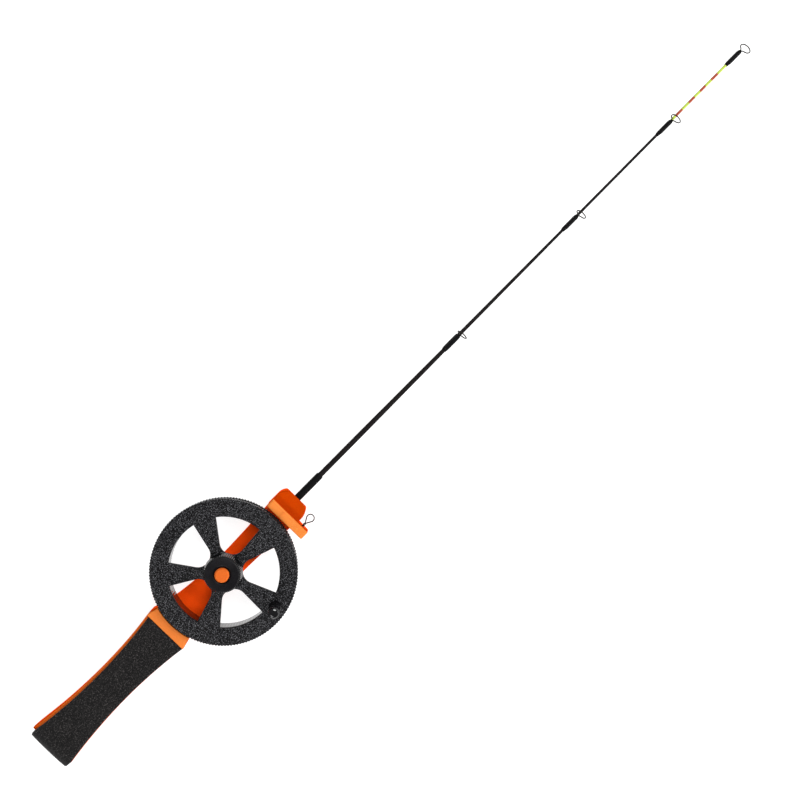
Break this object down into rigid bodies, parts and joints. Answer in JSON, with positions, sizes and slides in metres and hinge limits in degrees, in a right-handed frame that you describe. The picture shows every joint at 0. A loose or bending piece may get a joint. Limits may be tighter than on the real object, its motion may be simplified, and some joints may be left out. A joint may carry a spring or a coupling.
{
  "type": "ice fishing rod",
  "caption": "Short ice fishing rod with a waisted foam grip, an open five-spoke wheel reel with crank knob and brake button, a tapered whip and wire line guides.",
  "frame": {"origin": "where the reel's axis meets the flat back face of the handle frame", "axes": "+X along the whip towards its tip, +Y towards the rod's upper side, away from the line eye, +Z along the reel's axle, from the frame's back towards the crank knob"},
  "size_m": [0.518, 0.0766, 0.0378],
  "materials": {
    "orange_plastic": "moulded, satin gloss",
    "black_plastic": "spark-grained moulding",
    "smooth_black_plastic": "smooth satin moulding",
    "gloss_black_plastic": "polished moulding",
    "grip_foam": "fine closed-cell foam",
    "brake_felt": "felt",
    "steel": "zinc plated",
    "brass": "turned",
    "black_blank": "painted glass fibre, satin",
    "hi_vis_paint": "fluorescent yellow paint with red bands",
    "shrink_sleeve": "heat-shrink tube",
    "guide_wire": "dark drawn wire"
  },
  "bodies": {
    "frame": {"frame_body": "orange_plastic", "grip_foam": "grip_foam", "axle_sleeve": "steel", "brake_pad": "brake_felt", "whip_socket": "brass", "line_eye": "guide_wire", "button_spring": "steel", "thrust_washer": "steel", "drag_spring": "steel"},
    "spool": {"spool_front": "black_plastic", "spool_drum": "black_plastic", "spool_bush": "brass", "knob_pin": "steel", "spool_screw_1": "steel", "spool_screw_2": "steel", "spool_screw_3": "steel", "spool_screw_4": "steel", "spool_screw_5": "steel"},
    "knob": {"crank_knob": "gloss_black_plastic"},
    "drag": {"drag_nut": "smooth_black_plastic"},
    "button": {"brake_button": "orange_plastic"},
    "whip": {"whip_blank": "black_blank", "whip_tip": "hi_vis_paint", "base_sleeve": "shrink_sleeve", "guide_1": "guide_wire", "guide_2": "guide_wire", "guide_3": "guide_wire", "tip_guide": "guide_wire", "guide_sleeve_1": "shrink_sleeve", "guide_sleeve_2": "shrink_sleeve", "guide_sleeve_3": "shrink_sleeve", "tip_guide_sleeve": "shrink_sleeve"}
  },
  "joints": [
    {"name": "spool_spin", "type": "hinge", "parent": "frame", "child": "spool", "pos_m": [0, 0, 0.016], "axis": [0, 0, 1], "continuous": true},
    {"name": "knob_spin", "type": "hinge", "parent": "spool", "child": "knob", "pos_m": [0.00592, -0.03165, 0.03], "axis": [0, 0, 1], "continuous": true},
    {"name": "drag_turn", "type": "hinge", "parent": "frame", "child": "drag", "pos_m": [0, 0, 0.0255], "axis": [0, 0, 1], "range_deg": [0, 270]},
    {"name": "button_press", "type": "slide", "parent": "frame", "child": "button", "axis": [0, 0, -1], "range_m": [0, 0.002], "stiffness_N_per_m": 400, "springref_m": -0.002, "deforming": ["button_spring"]},
    {"name": "whip_pull", "type": "slide", "parent": "frame", "child": "whip", "axis": [1, 0, 0], "range_m": [0, 0.011]}
  ]
}
